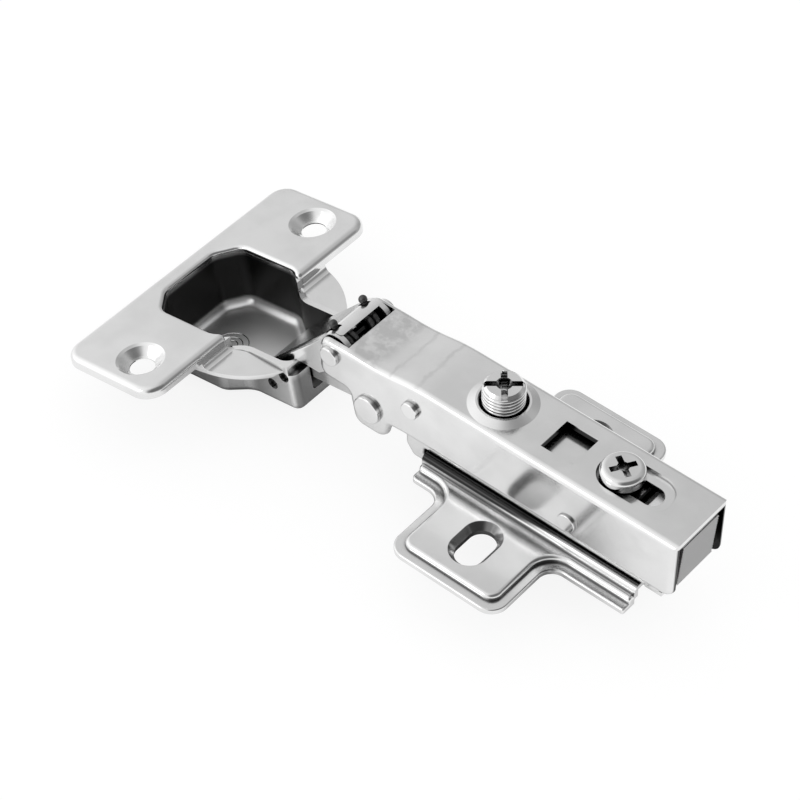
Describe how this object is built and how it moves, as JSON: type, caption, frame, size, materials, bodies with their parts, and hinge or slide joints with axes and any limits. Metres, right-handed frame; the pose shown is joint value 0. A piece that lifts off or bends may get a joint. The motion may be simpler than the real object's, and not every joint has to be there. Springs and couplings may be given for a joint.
{
  "type": "concealed cup hinge",
  "caption": "Concealed cabinet hinge with a flanged door cup, folding links, an adjustable clip-on arm and a cross-shaped mounting plate, shown open.",
  "frame": {"origin": "centre of the mounting plate's underside, midway between its two screw slots", "axes": "+X along the arm away from the cup, +Y along the line of the plate's two screws, +Z out of the cabinet wall"},
  "size_m": [0.1236, 0.062, 0.0349],
  "materials": {
    "nickel": "bright nickel plate on pressed steel",
    "bright_steel": "polished plate",
    "spring_steel": "dark oiled wire",
    "damper_plastic": "plain moulded",
    "seal_rubber": "plain"
  },
  "bodies": {
    "base": {"mounting_plate": "nickel", "clip_base": "nickel", "lever_pin": "bright_steel", "lever_spring": "spring_steel"},
    "depth_screw_body": {"depth_screw": "bright_steel"},
    "release_lever_body": {"release_lever": "nickel"},
    "arm_body": {"arm": "nickel", "front_rivet": "bright_steel", "link_rivet": "bright_steel", "damper_rivet": "bright_steel", "guide_rivet": "bright_steel", "damper_cylinder": "damper_plastic", "damper_plug": "damper_plastic", "damper_seal": "seal_rubber", "damper_spring": "spring_steel"},
    "side_screw_body": {"side_screw": "bright_steel"},
    "outer_link_body": {"outer_link": "nickel", "closing_spring": "spring_steel"},
    "cup_body": {"cup": "nickel", "cup_pin": "bright_steel"},
    "inner_link_body": {"inner_link": "nickel"},
    "damper_rod_body": {"damper_rod": "bright_steel", "damper_slider": "damper_plastic"}
  },
  "joints": [
    {"name": "depth_slide", "type": "slide", "parent": "base", "child": "arm_body", "axis": [-1, 0, 0], "range_m": [0, 0.005]},
    {"name": "depth_screw_turn", "type": "hinge", "parent": "base", "child": "depth_screw_body", "pos_m": [0.019, 0, 0.02], "axis": [0, 0, 1], "range_deg": [-360, 360]},
    {"name": "lever_press", "type": "hinge", "parent": "base", "child": "release_lever_body", "pos_m": [0.0275, 0, 0.014], "axis": [0, 1, 0], "range_deg": [0, 12], "stiffness_Nm_per_rad": 0.02, "springref_deg": -17.19, "deforming": ["lever_spring"]},
    {"name": "side_screw_turn", "type": "hinge", "parent": "arm_body", "child": "side_screw_body", "pos_m": [-0.0072, 0, 0.02], "axis": [0, 0, 1], "range_deg": [-720, 720]},
    {"name": "outer_swing", "type": "hinge", "parent": "arm_body", "child": "outer_link_body", "pos_m": [-0.041, 0, 0.0159], "axis": [0, -1, 0], "range_deg": [0, 22]},
    {"name": "cup_fold", "type": "hinge", "parent": "outer_link_body", "child": "cup_body", "pos_m": [-0.05465, 0, 0.0001], "axis": [0, 1, 0], "range_deg": [0, 122]},
    {"name": "inner_swing", "type": "hinge", "parent": "cup_body", "child": "inner_link_body", "pos_m": [-0.05184, 0, 0.00374], "axis": [0, -1, 0], "range_deg": [0, 139.5]},
    {"name": "damper_slide", "type": "slide", "parent": "arm_body", "child": "damper_rod_body", "axis": [1, 0, 0], "range_m": [0, 0.004], "deforming": ["damper_spring"]}
  ],
  "couplings": [
    {"joint": "outer_swing", "follows": "cup_fold", "ratio": 0.18033},
    {"joint": "inner_swing", "follows": "cup_fold", "ratio": 1.1434},
    {"joint": "damper_slide", "follows": "cup_fold", "m_per_rad": 0.0018785}
  ]
}
